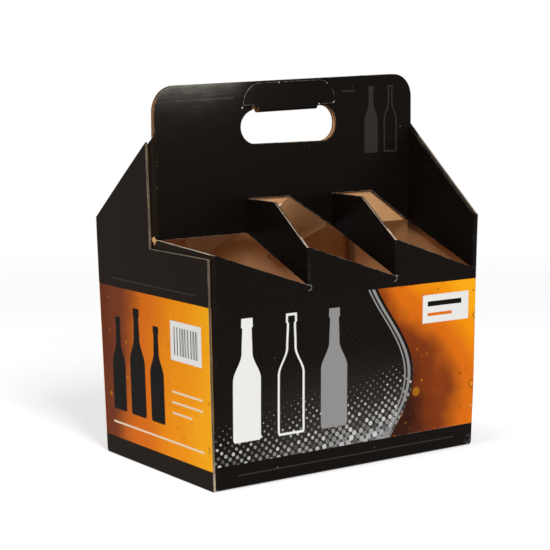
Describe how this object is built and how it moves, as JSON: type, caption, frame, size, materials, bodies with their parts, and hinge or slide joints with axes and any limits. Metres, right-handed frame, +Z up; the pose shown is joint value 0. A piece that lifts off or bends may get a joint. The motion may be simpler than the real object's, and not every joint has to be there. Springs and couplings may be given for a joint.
{
  "type": "bottle carrier",
  "caption": "Open bottle carrier folded from printed corrugated board, with diagonal straps between the cells, a two-ply centre handle and a fold-up hand flap.",
  "frame": {"origin": "middle of the base, on the surface that the carrier stands on", "axes": "+X along the front panel to the right, +Y from the front to the rear, +Z up"},
  "size_m": [0.2016, 0.136, 0.237],
  "materials": {
    "printed_board": "satin",
    "flap_board": "satin"
  },
  "bodies": {
    "carton": {"carton": "printed_board"},
    "hand_flap": {"hand_flap": "flap_board"}
  },
  "joints": [
    {"name": "hand_flap_fold", "type": "hinge", "parent": "carton", "child": "hand_flap", "pos_m": [0, -0.00095, 0.22015], "axis": [1, 0, 0], "range_deg": [0, 105]}
  ]
}
